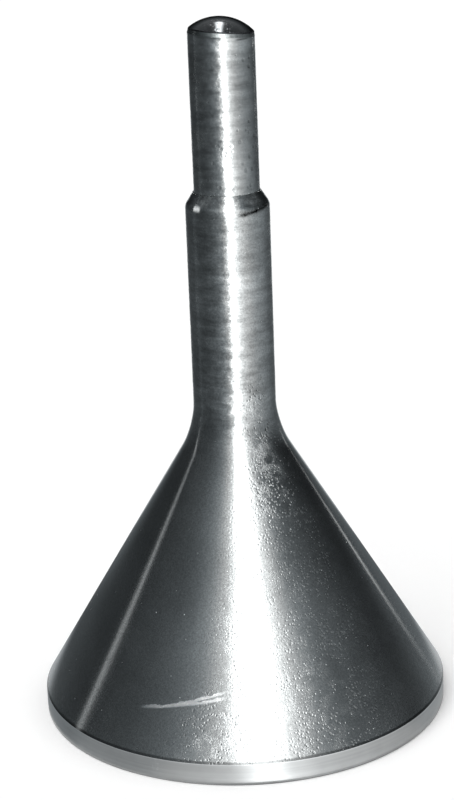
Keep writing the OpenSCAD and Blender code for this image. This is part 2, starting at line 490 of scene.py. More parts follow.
class Effects:
    """The effects that the finishes share, each built once."""

    def __init__(self) -> None:
        """Builds every effect."""
        self.around = self.build_around()
        self.turning = self.build_turning()
        self.pits = self.build_pits()
        self.glints = self.build_glints()
        self.stain = self.build_stain()
        self.edge = self.build_edge()
        self.rubs = self.build_rubs()

    @staticmethod
    def build_around() -> Tree:
        """Gives a point's radius, its height and the direction in which it lies, round the axis.

        Returns:
            The group.
        """
        effect = Effect("place_round_axis", {})
        bench = effect.bench
        parts, angle = bench.round_axis(effect.given["Place"])
        square = bench.times(parts["Y"], parts["Y"])
        radius = bench.math("SQRT", bench.onto(parts["X"], parts["X"], square))
        safe = bench.math("MAXIMUM", radius, 1e-5)
        return effect.close(
            Radius=radius, Height=parts["Z"], Across=bench.math("DIVIDE", parts["X"], safe),
            Along=bench.math("DIVIDE", parts["Y"], safe), Angle=angle,
        )

    def build_turning(self) -> Tree:
        """Gives the fine rings that a turning tool leaves, which break up along their way.

        Returns:
            The group.
        """
        effect = Effect("turning_marks", {"Lines per mm": 3.0, "Breaks": 2.0, "Seed": 0.0})
        bench, given = effect.bench, effect.given
        around = bench.group(self.around, {"Place": given["Place"]})
        density = bench.times(given["Lines per mm"], 1 / MM)
        rise = bench.onto(around["Height"], density, given["Seed"])
        across = bench.times(around["Across"], given["Breaks"])
        along = bench.times(around["Along"], given["Breaks"])
        reach = bench.times(around["Radius"], density)
        place = bench.add("ShaderNodeCombineXYZ", {0: across, 1: along, 2: reach}).outputs[0]
        slower = 0.3
        slow = bench.vector("SCALE", {0: place, "Scale": slower})
        return effect.close(
            Height=bench.noise(place, 1.0, 3.0, 0.6, fourth=rise),
            Tone=bench.noise(slow, 1.0, 2.0, 0.7, fourth=bench.times(rise, slower)),
        )

    @staticmethod
    def build_pits() -> Tree:
        """Gives small round pits, closer together in some places than in others.

        Returns:
            The group.
        """
        effect = Effect("fine_pits", {"Pitch mm": 0.5, "Cover": 0.4, "Seed": 0.0})
        bench, given = effect.bench, effect.given
        scale = bench.math("DIVIDE", 1 / MM, given["Pitch mm"])
        shift = bench.vector("ADD", {0: given["Place"], 1: given["Seed"]})
        crowds_per_pit, bare, crowded, core = 0.09, 0.32, 0.55, 0.35
        crowd = bench.noise(shift, bench.times(scale, crowds_per_pit), 3.0, 0.65)
        reach = bench.times(bench.span(crowd, bare, crowded), given["Cover"])
        off = bench.cells(shift, scale)["Distance"]
        return effect.close(Mask=bench.span(off, bench.times(reach, core), reach, 1.0, 0.0))

    @staticmethod
    def build_glints() -> Tree:
        """Gives sparse bright specks, painted glints where a pit's wall would catch the light.

        Returns:
            The group.
        """
        effect = Effect("sparse_glints", {"Pitch mm": 1.2, "Cover": 0.2})
        bench, given = effect.bench, effect.given
        cells = bench.cells(given["Place"], bench.math("DIVIDE", 1 / MM, given["Pitch mm"]))
        chance = bench.add("ShaderNodeSeparateColor", {0: cells["Color"]}).outputs
        smallest, spread, core = 0.05, 0.09, 0.5
        size = bench.onto(chance[1], spread, smallest)
        speck = bench.span(cells["Distance"], bench.times(size, core), size, 1.0, 0.0)
        return effect.close(
            Mask=bench.times(speck, bench.math("LESS_THAN", chance[0], given["Cover"]))
        )

    @staticmethod
    def build_stain() -> Tree:
        """Gives wide, soft changes of tone, as oil and handling leave.

        Returns:
            The group.
        """
        effect = Effect("soft_stain", {"Size mm": 12.0, "Seed": 0.0})
        bench, given = effect.bench, effect.given
        scale = bench.math("DIVIDE", 1 / MM, given["Size mm"])
        tone = bench.noise(given["Place"], scale, 4.0, 0.6, fourth=given["Seed"])
        dark, light = 0.3, 0.7
        return effect.close(Tone=bench.span(tone, dark, light))

    def build_edge(self) -> Tree:
        """Gives a ragged ring at one height: an edge worn bright, or a darker ring, once as painted
        shade.

        Returns:
            The group.
        """
        effect = Effect("edge_wear_and_shade", {"Height mm": 0.0, "Width mm": 0.3})
        bench, given = effect.bench, effect.given
        around = bench.group(self.around, {"Place": given["Place"]})
        tears_per_metre, core = 900.0, 0.3
        ragged = bench.noise(given["Place"], tears_per_metre, 3.0, 0.7)
        height = bench.math("DIVIDE", around["Height"], MM)
        off = bench.apart(height, given["Height mm"])
        width = bench.times(given["Width mm"], bench.math("ADD", ragged, 0.5))
        return effect.close(Mask=bench.span(off, bench.times(width, core), width, 1.0, 0.0))

    @staticmethod
    def build_rubs() -> Tree:
        """Gives thin, short scratches in two directions.

        Returns:
            The group.
        """
        effect = Effect("handling_rubs", {"Cover": 0.3, "Seed": 0.0})
        bench, place, seed = effect.bench, effect.given["Place"], effect.given["Seed"]
        patches_per_metre, lines_per_metre, line_width = 160.0, 90.0, 0.012
        fewest, spread = 0.78, 0.4
        here = bench.noise(place, patches_per_metre, 1.0, 0.5, fourth=seed)
        limit = bench.less(fewest, bench.times(effect.given["Cover"], spread))
        kept = bench.math("GREATER_THAN", here, limit)
        masks = []
        for turn, stretch in ((0.5, (1, 1, 28)), (-0.9, (30, 1, 1.5))):
            feeds = {"Vector": place, "Rotation": (turn, turn / 2, turn), "Scale": stretch}
            mapped = bench.add("ShaderNodeMapping", feeds).outputs[0]
            line = bench.apart(bench.noise(mapped, lines_per_metre, 2.0, 0.5, fourth=seed), 0.5)
            masks.append(bench.times(bench.span(line, 0.0, line_width, 1.0, 0.0), kept))
        return effect.close(Mask=bench.math("MAXIMUM", *masks))


@dataclass
class Surface:
    """A steel surface in the making: a point on it, and what is known of it so far."""

    bench: NodeBench
    effects: Effects
    place: Socket
    around: Outputs
    gain: Feed = 1.0
    relief: Feed = 0.0
    rough: Feed = 0.0
    metal: Feed = 1.0
    tilt: Feed = 0.0

    def effect(self, tree: Tree, feeds: dict[str, Feed]) -> Outputs:
        """Places an effect at the point and returns its outputs."""
        return self.bench.group(tree, {"Place": self.place, **feeds})

    def sink(self, mask: Feed, microns: float) -> None:
        """Lowers the relief where a mask is 1."""
        self.relief = self.bench.onto(mask, -microns * MICRON_IN_MM, self.relief)

    def dull(self, mask: Feed, more: float) -> None:
        """Makes the surface rougher where a mask is 1."""
        self.rough = self.bench.onto(mask, more, self.rough)

    def brighten(self, mask: Feed, gain: float) -> None:
        """Makes the surface brighter, by a share of what it is, where a mask is 1."""
        self.gain = self.bench.change(self.gain, mask, gain)


@dataclass(frozen=True)
class EdgeWearAndShade:
    """A ring at one height, in millimetres: rubbed bright as wear, or darker, in part painted
    shade.
    """

    height: float
    width: float
    gain: float
    polish: float = 0.05

    def lay_ring(self, at: Surface) -> None:
        """Adds the nodes that lay the ring into a surface.

        Args:
            at: The surface.
        """
        feeds = {"Height mm": self.height, "Width mm": self.width}
        mask = at.effect(at.effects.edge, feeds)["Mask"]
        at.brighten(mask, self.gain - 1)
        at.dull(mask, -self.polish)


@dataclass(frozen=True)
class Fade:
    """A share that changes from 0 to 1 between two heights, in millimetres."""

    nought: float
    full: float

    def share(self, at: Surface) -> Socket:
        """Adds the nodes that give the share at the surface's point.

        Args:
            at: The surface.

        Returns:
            The share.
        """
        low, high = sorted((self.nought, self.full))
        ends = (0.0, 1.0) if self.full > self.nought else (1.0, 0.0)
        return at.bench.span(at.around["Height"], low * MM, high * MM, *ends)


@dataclass(frozen=True)
class Swell:
    """A place where a patch is worn more than elsewhere. Angles are in degrees."""

    where: Fade
    azimuth: float
    half_width: float
    soft: float
    gain: float

    def swell(self, at: Surface, share: Socket) -> Socket:
        """Adds the nodes that make the patch's share greater here.

        Args:
            at: The surface.
            share: The patch's share so far.

        Returns:
            The new share.
        """
        angles = map(math.radians, (self.azimuth, self.half_width, self.soft))
        near = at.bench.near(at.around["Angle"], *angles)
        return at.bench.change(share, at.bench.times(near, self.where.share(at)), self.gain - 1)


@dataclass(frozen=True)
class WornPatch:
    """A part of the way round where pits lie close together. Angles are in degrees."""

    azimuth: float
    drift_per_mm: float
    half_width: float
    soft: float
    rest: float
    swells: tuple[Swell, ...] = ()

    def share(self, at: Surface) -> Socket:
        """Adds the nodes that give 1 in the patch and the lesser share away from it.

        Args:
            at: The surface.

        Returns:
            The share.
        """
        azimuth, drift, half, soft = map(
            math.radians, (self.azimuth, self.drift_per_mm, self.half_width, self.soft)
        )
        middle = at.bench.onto(at.around["Height"], drift / MM, azimuth)
        here = at.bench.near(at.around["Angle"], middle, half, soft, self.rest)
        for swell in self.swells:
            here = swell.swell(at, here)
        return here


# Lays scratches and chips, and also the painted highlight on the shoulder.
@dataclass(frozen=True)
class ScratchAndPaintedLight:
    """An irregular line, bright or dark, at one height, over part of the way round."""

    height: float
    slope: float
    azimuth: float
    half_width: float
    thickness: float
    gain: float
    wobble: float
    dulling: float = 0.3
    painted_highlight_scatter: float = 0.0
    depth: float = 4.0
    swerves_per_metre: float = 500.0

    def cut(self, at: Surface) -> None:
        """Adds the nodes that cut the line into a surface and change its colour.

        Args:
            at: The surface.
        """
        bench = at.bench
        off = bench.less(at.around["Angle"], math.radians(self.azimuth))
        half = math.radians(self.half_width)
        inside = bench.span(bench.math("ABSOLUTE", off), half * 0.5, half, 1.0, 0.0)
        swerve = bench.noise(at.place, self.swerves_per_metre, 3.0, 0.7)
        line = bench.onto(off, self.slope * MM, self.height * MM)
        line = bench.onto(bench.less(swerve, 0.5), self.wobble * MM, line)
        wide = bench.times(swerve, self.thickness * 2 * MM)
        away = bench.apart(at.around["Height"], line)
        mask = bench.times(bench.span(away, 0.0, wide, 1.0, 0.0), inside)
        at.gain = bench.onto(mask, self.gain, at.gain)
        at.sink(mask, self.depth)
        at.dull(mask, self.dulling)
        # Less metal makes the mark a pale matte spot: a painted highlight.
        if self.painted_highlight_scatter:
            at.metal = bench.onto(mask, -self.painted_highlight_scatter, at.metal)


@dataclass(frozen=True)
class SteelFinish:
    """A steel surface: its colour, its cut, its marks, and the light and shade painted into it.

    Pitches and sizes are in millimetres, and depths in microns.
    """

    name: str
    color: tuple[float, float, float]
    roughness: float
    seed: float
    anisotropy: float = 0.0
    swing: float = 0.08
    tone_swing: float = 0.2
    lines_per_mm: float = 3.0
    breaks: float = 2.0
    line_depth: float = 2.0
    line_fade: Fade | None = None
    stain: float = 0.12
    stain_size: float = 12.0
    pit_pitch: float = 0.5
    pit_cover: float = 0.0
    pit_depth: float = 12.0
    pit_gain: float = -0.12
    pit_dulling: float = 0.1
    pit_fade: Fade | None = None
    patch: WornPatch | None = None
    grain_per_mm: float = 1.6
    grain_breaks: float = 12.0
    grain_depth: float = 0.0
    grain_swing: float = 0.0
    grain_seed: float = 50.0
    wander: float = 0.0
    meander: float = 0.0
    sway: float = 0.0
    sway_size: float = 9.0
    pebble_size: float = 0.26
    pebble_depth: float = 0.0
    pebble_gain: float = 1.3
    crowd_size: float = 2.5
    crowd_span: Span = (0.4, 0.6, 0.2, 1.0)
    glints: float = 0.0
    glint_pitch: float = 1.1
    glint_gain: float = 1.2
    glint_dulling: float = 0.45
    rubs: float = 0.2
    rub_depth: float = 1.5
    rub_gain: float = 0.35
    edges: tuple[EdgeWearAndShade, ...] = ()
    marks: tuple[ScratchAndPaintedLight, ...] = ()
    brightest: float = 0.98
    smoothest: float = 0.08

    def build(self, effects: Effects) -> bpy.types.Material:
        """Builds the material.

        Args:
            effects: The shared effects.

        Returns:
            The new material.
        """
        material = bpy.data.materials.new(self.name)
        bench = NodeBench.cleared(material)
        place = bench.add("ShaderNodeTexCoord").outputs["Object"]
        at = Surface(bench, effects, place, bench.group(effects.around, {"Place": place}))
        self.cut_lines(at)
        if self.pit_cover:
            self.sink_pits(at)
        if self.grain_depth:
            self.raise_grain(at)
        if self.pebble_depth:
            self.raise_pebble(at)
        self.add_wear_and_painted_light(at)
        self.shade(at)
        return material

    def centred(self, at: Surface, value: Feed) -> Socket:
        """Takes a texture's middle away and fades it out with the turned lines.

        Args:
            at: The surface.
            value: The texture's value, from 0 to 1.

        Returns:
            The value, from -0.5 to 0.5.
        """
        swing = at.bench.less(value, 0.5)
        return at.bench.times(swing, self.line_fade.share(at)) if self.line_fade else swing

    def where_worn(self, at: Surface, value: Feed) -> Feed:
        """Keeps a value only where the surface has its pits.

        Args:
            at: The surface.
            value: The value.

        Returns:
            The value times its share there.
        """
        for limit in (self.pit_fade, self.patch):
            if limit:
                value = at.bench.times(value, limit.share(at))
        return value

    def cut_lines(self, at: Surface) -> None:
        """Lays the lines that the tool left, under a soft stain.

        Args:
            at: The surface.
        """
        bench = at.bench
        feeds = {"Lines per mm": self.lines_per_mm, "Breaks": self.breaks, "Seed": self.seed}
        lines = at.effect(at.effects.turning, feeds)
        feeds = {"Size mm": self.stain_size, "Seed": self.seed}
        stain = at.effect(at.effects.stain, feeds)["Tone"]
        tone = self.centred(at, lines["Tone"])
        at.gain = bench.onto(tone, self.tone_swing * 2, 1.0)
        at.brighten(bench.less(stain, 0.5), self.stain * 2)
        at.rough = bench.onto(tone, self.swing * 4, self.roughness)
        at.dull(stain, self.swing * 0.5)
        fine = self.centred(at, lines["Height"])
        at.relief = bench.times(fine, self.line_depth * MICRON_IN_MM)

    def sink_pits(self, at: Surface) -> None:
        """Sinks the pits.

        Args:
            at: The surface.
        """
        feeds = {"Pitch mm": self.pit_pitch, "Cover": self.pit_cover, "Seed": self.seed}
        pits = self.where_worn(at, at.effect(at.effects.pits, feeds)["Mask"])
        at.sink(pits, self.pit_depth)
        at.brighten(pits, self.pit_gain)
        at.dull(pits, self.pit_dulling)

    def raise_grain(self, at: Surface) -> None:
        """Lays a coarser grain, which also leans the surface's normal round the axis.

        Args:
            at: The surface.
        """
        bench = at.bench
        feeds = {
            "Lines per mm": self.grain_per_mm, "Breaks": self.grain_breaks,
            "Seed": self.seed + self.grain_seed,
        }
        grain = at.effect(at.effects.turning, feeds)
        bumps, blotch = self.centred(at, grain["Height"]), self.centred(at, grain["Tone"])
        slow = bench.noise(at.place, 1 / (self.sway_size * MM), 2.0, 0.5, fourth=self.seed)
        at.sink(bumps, -self.grain_depth)
        at.tilt = bench.times(bumps, self.wander)
        at.tilt = bench.onto(blotch, self.meander, at.tilt)
        at.tilt = bench.onto(self.centred(at, slow), self.sway, at.tilt)
        at.dull(blotch, self.grain_swing * 4)
        at.brighten(blotch, self.tone_swing)

    def raise_pebble(self, at: Surface) -> None:
        """Lays a fine pebble, in crowds, where the pits are.

        Args:
            at: The surface.
        """
        bench = at.bench
        pebble = bench.noise(at.place, 1 / (self.pebble_size * MM), 3.0, 0.75, fourth=self.seed)
        crowd = bench.noise(at.place, 1 / (self.crowd_size * MM), 3.0, 0.7, fourth=self.seed)
        pebble = bench.less(pebble, 0.5)
        at.brighten(pebble, self.pebble_gain)
        pebble = bench.times(pebble, bench.span(crowd, *self.crowd_span))
        at.sink(self.where_worn(at, pebble), -self.pebble_depth)

    def add_wear_and_painted_light(self, at: Surface) -> None:
        """Adds the painted glints, the rubs, the edge rings, the scratches and the painted
        highlight and shade.

        Args:
            at: The surface.
        """
        if self.glints:
            feeds = {"Pitch mm": self.glint_pitch, "Cover": self.glints}
            glints = at.effect(at.effects.glints, feeds)["Mask"]
            # Painted glints: the specks brighten the colour itself.
            at.gain = at.bench.onto(glints, self.glint_gain, at.gain)
            at.dull(glints, self.glint_dulling)
        rubs = at.effect(at.effects.rubs, {"Cover": self.rubs, "Seed": self.seed})["Mask"]
        at.sink(rubs, self.rub_depth)
        at.brighten(rubs, self.rub_gain)
        for edge in self.edges:
            edge.lay_ring(at)
        for mark in self.marks:
            mark.cut(at)

    def shade(self, at: Surface) -> None:
        """Adds the shader and feeds it what is known of the surface.

        Args:
            at: The surface.
        """
        bench = at.bench
        color = bench.vector("SCALE", {0: self.color, "Scale": at.gain})
        relief = {"Strength": 1.0, "Distance": MM, "Height": at.relief}
        normal = bench.add("ShaderNodeBump", relief).outputs[0]
        way_round = bench.add("ShaderNodeTangent", direction_type="RADIAL", axis="Z").outputs[0]
        if self.wander:
            lean = bench.vector("SCALE", {0: way_round, "Scale": at.tilt})
            normal = bench.vector("NORMALIZE", {0: bench.vector("ADD", {0: normal, 1: lean})})
        feeds: dict[int | str, Feed] = {
            "Base Color": bench.vector("MINIMUM", {0: color, 1: (self.brightest,) * 3}),
            "Metallic": at.metal, "Roughness": bench.math("MAXIMUM", at.rough, self.smoothest),
            "Normal": normal,
        }
        if self.anisotropy:
            feeds["Anisotropic"] = self.anisotropy
            feeds["Anisotropic Rotation"] = QUARTER_TURN
            feeds["Tangent"] = way_round
        shader = bench.add("ShaderNodeBsdfPrincipled", feeds)
        bench.add("ShaderNodeOutputMaterial", {"Surface": shader.outputs[0]})


Zones = Sequence[tuple[SteelFinish, Wanted]]


@dataclass(frozen=True)
class Workshop:
    """What every sub-assembly is made with: a lathe and the effects."""

    lathe: Lathe
    effects: Effects

    def dress(self, piece: Piece, main: SteelFinish, zones: Zones = ()) -> None:
        """Gives a piece its finish, and others to the faces of its zones.

        Args:
            piece: The piece to dress.
            main: The finish of all faces that are in no zone.
            zones: Each zone's finish, and what says yes or no to a radius and a height.
        """
        piece.data.materials.clear()
        piece.data.materials.append(main.build(self.effects))
        Hand.take(piece)
        for index, (finish, wanted) in enumerate(zones, start=1):
            piece.data.materials.append(finish.build(self.effects))
            Hand.open_mesh("DESELECT")
            Hand.pick(piece, wanted, faces=True)
            piece.active_material_index = index
            bpy.ops.object.material_slot_assign()
            bpy.ops.object.mode_set(mode="OBJECT")

    @staticmethod
    def fit(piece: Piece, body: Body, slot: Slot, *nodes: str) -> None:
        """Lets a piece ride on its body in place of its CAD nodes, and reports it.

        Args:
            piece: The finished piece.
            body: The body that it moves with.
            slot: The record's material slot; not used.
            nodes: The CAD nodes that it stands for.
        """
        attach(piece, body.value)
        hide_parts(*nodes)
        log.info("%s: %d faces, on %s", piece.name, len(piece.data.polygons), body.value)

    def complete(
        self, piece: Piece, finish: SteelFinish, body: Body, slot: Slot, node: str,
        zones: Zones = (), smooth_under: float = 35.0,
    ) -> None:
        """Tidies, dresses and fits a piece that has its shape.

        Args:
            piece: The piece.
            finish: Its main finish.
            body: The body that it moves with.
            slot: The record's material slot.
            node: The CAD node that it stands for.
            zones: Its zones, as dress takes them.
            smooth_under: Edges that turn by less than this, in degrees, are shaded smooth.
        """
        Hand.tidy_mesh(piece, smooth_under)
        Hand.weigh_normals(piece)
        self.dress(piece, finish, zones)
        self.fit(piece, body, slot, node)


STEEL = (0.424, 0.44, 0.441)

BELL_OUTSIDE = SteelFinish(
    "bell_turned_outside", STEEL, roughness=0.18, seed=1.0, anisotropy=0.9, swing=0.04,
    tone_swing=0.8, breaks=4.0, line_depth=3.0, line_fade=Fade(nought=40.0, full=52.0),
    pit_cover=0.44, pit_depth=13.0, pit_fade=Fade(nought=57.0, full=48.0),
    patch=WornPatch(
        azimuth=10.0, drift_per_mm=0.5, half_width=20.0, soft=24.0, rest=0.06,
        swells=(
            Swell(Fade(31.0, 42.0), azimuth=31.0, half_width=8.0, soft=14.0, gain=4.6),
            Swell(Fade(20.0, 8.0), azimuth=26.0, half_width=8.0, soft=10.0, gain=1.6),
            Swell(Fade(15.0, 7.0), azimuth=-16.0, half_width=7.0, soft=9.0, gain=2.0),
        ),
    ),
    grain_per_mm=2.0, grain_breaks=13.0, grain_depth=14.0, grain_swing=0.1,
    wander=0.2, meander=0.12, sway=0.07, pebble_depth=31.0, glints=0.15,
    edges=(EdgeWearAndShade(80.5, 0.35, 1.15), EdgeWearAndShade(3.55, 0.3, 0.45)),
    marks=(
        ScratchAndPaintedLight(
            height=10.5, slope=5.0, azimuth=-20.0, half_width=15.0, thickness=0.33, gain=3.2,
            wobble=0.6,
        ),
        ScratchAndPaintedLight(
            height=11.1, slope=7.0, azimuth=-17.0, half_width=12.0, thickness=0.28, gain=2.6,
            wobble=0.6,
        ),
        # Foot of the shoulder, right: a shallow groove coloured nearly black as painted shade.
        ScratchAndPaintedLight(
            height=79.95, slope=0.85, azimuth=45.0, half_width=38.0, thickness=0.6, gain=-0.95,
            wobble=0.3, dulling=0.1,
        ),
        # Painted highlight: a pale matte spot on the left of the shoulder's rounding.
        ScratchAndPaintedLight(
            height=80.3, slope=0.0, azimuth=-47.0, half_width=8.0, thickness=0.6, gain=0.8,
            wobble=0.2, painted_highlight_scatter=0.7,
        ),
    ),
)
RIM_BAND = SteelFinish(
    "bell_rim_band", (0.3, 0.309, 0.311), roughness=0.3, seed=2.0, anisotropy=0.6, swing=0.05,
    tone_swing=0.3, lines_per_mm=4.0, breaks=3.0,
    # The ring at 0.1 mm is darkened as painted contact shade along the foot of the rim band.
    edges=(EdgeWearAndShade(3.4, 0.2, 1.35), EdgeWearAndShade(0.1, 0.25, 0.85)),
)
CONE_INSIDE = SteelFinish(
    "bell_cone_inside", (0.46, 0.47, 0.47), roughness=0.34, seed=3.0, anisotropy=0.7,
    lines_per_mm=2.0, breaks=1.5, line_depth=3.0,
)
BORE = SteelFinish(
    "bell_bore", (0.32, 0.33, 0.33), roughness=0.45, seed=4.0, lines_per_mm=4.0, stain=0.2
)
ROD_SIDE = SteelFinish(
    "rod_ground_side", STEEL, roughness=0.2, seed=5.0, anisotropy=0.9, swing=0.04,
    tone_swing=0.7, lines_per_mm=3.2, breaks=4.0, line_depth=3.0,
    pit_pitch=1.1, pit_cover=0.4, pit_depth=22.0,
    grain_per_mm=2.0, grain_breaks=11.0, grain_depth=14.0, grain_swing=0.1,
    wander=0.2, meander=0.16, sway=0.1, glints=0.16,
    edges=(EdgeWearAndShade(104.4, 1.5, 1.35),),
    marks=(
        ScratchAndPaintedLight(
            height=104.95, slope=0.2, azimuth=38.0, half_width=16.0, thickness=0.24, gain=-0.7,
            wobble=0.25, dulling=0.1,
        ),
    ),
)
ROD_BEVEL = SteelFinish(
    "rod_head_bevel", (0.29, 0.31, 0.31), roughness=0.27, seed=5.5, anisotropy=0.8,
    tone_swing=0.8, breaks=5.0, grain_depth=30.0, grain_swing=0.08,
)
# Nearly black painted shade along the sharp edge between the bevel and the dome.
ROD_EDGE_SHADE = SteelFinish(
    "rod_head_edge_painted_shade", (0.035, 0.037, 0.04), roughness=0.5, seed=5.7, tone_swing=0.8,
    lines_per_mm=2.0, breaks=3.0,
)
ROD_HEAD = SteelFinish(
    "rod_struck_head", (0.052, 0.055, 0.057), roughness=0.13, seed=6.0, swing=0.03,
    lines_per_mm=2.5, breaks=1.2, line_depth=3.0, pit_cover=0.4, stain=0.25, stain_size=4.0,
)
ROD_INSIDE = SteelFinish(
    "rod_lower_end", (0.36, 0.37, 0.37), roughness=0.36, seed=7.0, anisotropy=0.5
)
BUSH_STEEL = SteelFinish(
    "bush_turned", (0.36, 0.37, 0.37), roughness=0.36, seed=8.0, anisotropy=0.5, stain=0.18
)
STEM_STEEL = SteelFinish(
    "stem_hardened", (0.3, 0.31, 0.32), roughness=0.28, seed=9.0, anisotropy=0.4,
    lines_per_mm=4.0, line_depth=0.8, stain=0.2,
)
STEM_POINT = SteelFinish(
    "stem_point_ground", (0.5, 0.5, 0.5), roughness=0.22, seed=10.0, lines_per_mm=6.0,
    line_depth=1.0,
)
RING_STEEL = SteelFinish(
    "stop_ring_hardened", (0.26, 0.27, 0.28), roughness=0.3, seed=11.0, lines_per_mm=5.0,
    line_depth=1.0, edges=(EdgeWearAndShade(71.8, 0.2, 1.6), EdgeWearAndShade(73.3, 0.2, 1.6)),
)
WIRE_STEEL = SteelFinish(
    "spring_drawn_wire", (0.4, 0.41, 0.43), roughness=0.3, seed=12.0, lines_per_mm=2.0,
    stain=0.2, stain_size=3.0,
)
WASHER_STEEL = SteelFinish(
    "washer_pressed", (0.42, 0.43, 0.44), roughness=0.34, seed=13.0, lines_per_mm=4.0,
    edges=(EdgeWearAndShade(71.0, 0.15, 1.4), EdgeWearAndShade(71.8, 0.15, 1.4)),
)


@dataclass
class BellAssembly:
    """The bell, the bush in its apex and the spring in its neck. Sizes are in millimetres."""

    shop: Workshop
    mouth_radius: float = 32.0
    land_radius: float = 29.2
    rim_height: float = 3.4
    rim_bevel: float = 0.25
    land_round: float = 0.2
    band_round: float = 0.12
    cone_angle: float = 31.3
    neck_radius: float = 6.4
    bell_height: float = 82.2
    root_fillet: float = 14.0
    shoulder_height: float = 80.3
    shoulder_round: float = 1.5
    mouth_top_radius: float = 5.16
    guide_radius: float = 5.04
    lip_height: float = 73.3
    chamber_radius: float = 5.6
    bush_radius: float = 7.0
    bush_low: float = 22.2
    bush_high: float = 35.0
    skin: float = 0.2
    seat_skin: float = 0.01
    bush_gap: float = 0.1
    neck_low: float = 40.0
    lip_low: float = 80.4
    lip_radius: float = 5.1
    stem_bore_radius: float = 2.54
    bush_mouth: float = 26.66
    thread_pitch: float = 0.7
    thread_runout: float = 0.5
    bush_edge: float = 0.3
    spanner_radius: float = 4.56
    spanner_hole_radius: float = 1.0
    spanner_hole_depth: float = 3.0
    drill_spare: float = 2.0
    drill_sides: int = 48
    wire_radius: float = 0.4
    wire_sides: int = 12
    coil_radius: float = 4.35
    coil_steps: int = 24
    spring_high: float = 71.0
    spring_turns: int = 12
    closed_turns: float = 1.5
    closed_pitch: float = 1.3
    ground_share: float = 0.35
    stroke: float = 22.0

    def build(self) -> None:
        """Builds, dresses and fits the three pieces."""
        self.build_bell()
        self.build_bush()
        self.build_spring()

    @property
    def cone_top(self) -> float:
        """Height at which the plain cone would meet the neck."""
        run = self.mouth_radius - self.neck_radius
        return self.rim_height + run / math.tan(math.radians(self.cone_angle))

    def on_band(self, radius: float, height: float) -> bool:
        """Tells whether a face is on the rim band."""
        return radius > self.mouth_radius - self.skin and height < self.rim_height

    def inside_cone(self, radius: float, height: float) -> bool:
        """Tells whether a face is on the land or on the inside of the cone."""
        low = height < self.bush_low + self.bush_gap and radius < self.mouth_radius - self.skin
        return low and height + radius < self.mouth_radius

    def in_bore(self, radius: float, height: float) -> bool:
        """Tells whether a face is in the bores of the neck.

        Args:
            radius: Radius of the face's middle.
            height: Its height.

        Returns:
            Whether it is in a bore.
        """
        on_neck = radius > self.neck_radius - self.skin and height > self.neck_low
        on_lip = height > self.lip_low and radius > self.lip_radius
        inner = height > self.bush_low and radius < self.bush_radius + self.seat_skin
        return inner and not (on_neck or on_lip)

    def build_bell(self) -> None:
        """Turns the bell, with its rim band, cone, neck, lip, spring chamber and bush seat."""
        outline = [
            Corner(self.land_radius, 0, self.land_round),
            Corner(self.mouth_radius, 0, self.rim_bevel),
            Corner(self.mouth_radius, self.rim_height, self.band_round, steps=2),
            Corner(self.neck_radius, self.cone_top, self.root_fillet, steps=24),
            Corner(self.neck_radius, self.shoulder_height, self.shoulder_round, steps=8),
            Corner(self.mouth_top_radius, self.bell_height),
            Corner(self.guide_radius, self.bell_height),
            Corner(self.guide_radius, self.lip_height),
            Corner(self.chamber_radius, self.lip_height),
            Corner(self.chamber_radius, self.bush_high),
            Corner(self.bush_radius, self.bush_high),
            Corner(self.bush_radius, self.bush_low),
        ]
        bell = self.shop.lathe.turn("bell_body", outline)
        zones = [(RIM_BAND, self.on_band), (CONE_INSIDE, self.inside_cone), (BORE, self.in_bore)]
        self.shop.complete(bell, BELL_OUTSIDE, Body.BELL, Slot.BELL, "bell", zones)

    def build_bush(self) -> None:
        """Turns the bush with its ring thread and drills the two spanner holes."""
        radius, low, high, edge = self.bush_radius, self.bush_low, self.bush_high, self.bush_edge
        runout = self.thread_runout
        outline = [
            Corner(self.stem_bore_radius, self.bush_mouth),
            Corner(radius, low),
            *thread_corners(radius, low + runout, high - runout, self.thread_pitch),
            Corner(radius, high - edge),
            Corner(radius - edge, high),
            Corner(self.stem_bore_radius, high),
        ]
        bush = self.shop.lathe.turn("bush_body", outline)
        Hand.tidy_mesh(bush)
        mouth = self.land_radius - self.spanner_radius
        depth = self.spanner_hole_depth + self.drill_spare
        middle = mouth + self.spanner_hole_depth - depth / 2
        for side in (-1, 1):
            Hand.let_go()
            bpy.ops.mesh.primitive_cylinder_add(
                vertices=self.drill_sides, radius=self.spanner_hole_radius * MM, depth=depth * MM,
                location=(side * self.spanner_radius * MM, 0, middle * MM),
            )
            Hand.cut_away(bush, Hand.name_new("spanner_drill"))
        self.shop.complete(
            bush, BUSH_STEEL, Body.BELL, Slot.BUSH, "guide_bush", smooth_under=25.0
        )

    def wire_height(self, turn: float) -> float:
        """Gives the height of the wire's middle along the spring.

        Args:
            turn: Number of turns from the lower end.

        Returns:
            The height.
        """
        ground = self.wire_radius - 2 * self.ground_share * self.wire_radius
        low, high = self.bush_high + ground, self.spring_high - ground
        closed = self.closed_turns * self.closed_pitch
        if turn < self.closed_turns:
            return low + turn * self.closed_pitch
        if turn > self.spring_turns - self.closed_turns:
            return high - (self.spring_turns - turn) * self.closed_pitch
        open_turns = self.spring_turns - 2 * self.closed_turns
        pitch = (high - low - 2 * closed) / open_turns
        return low + closed + (turn - self.closed_turns) * pitch

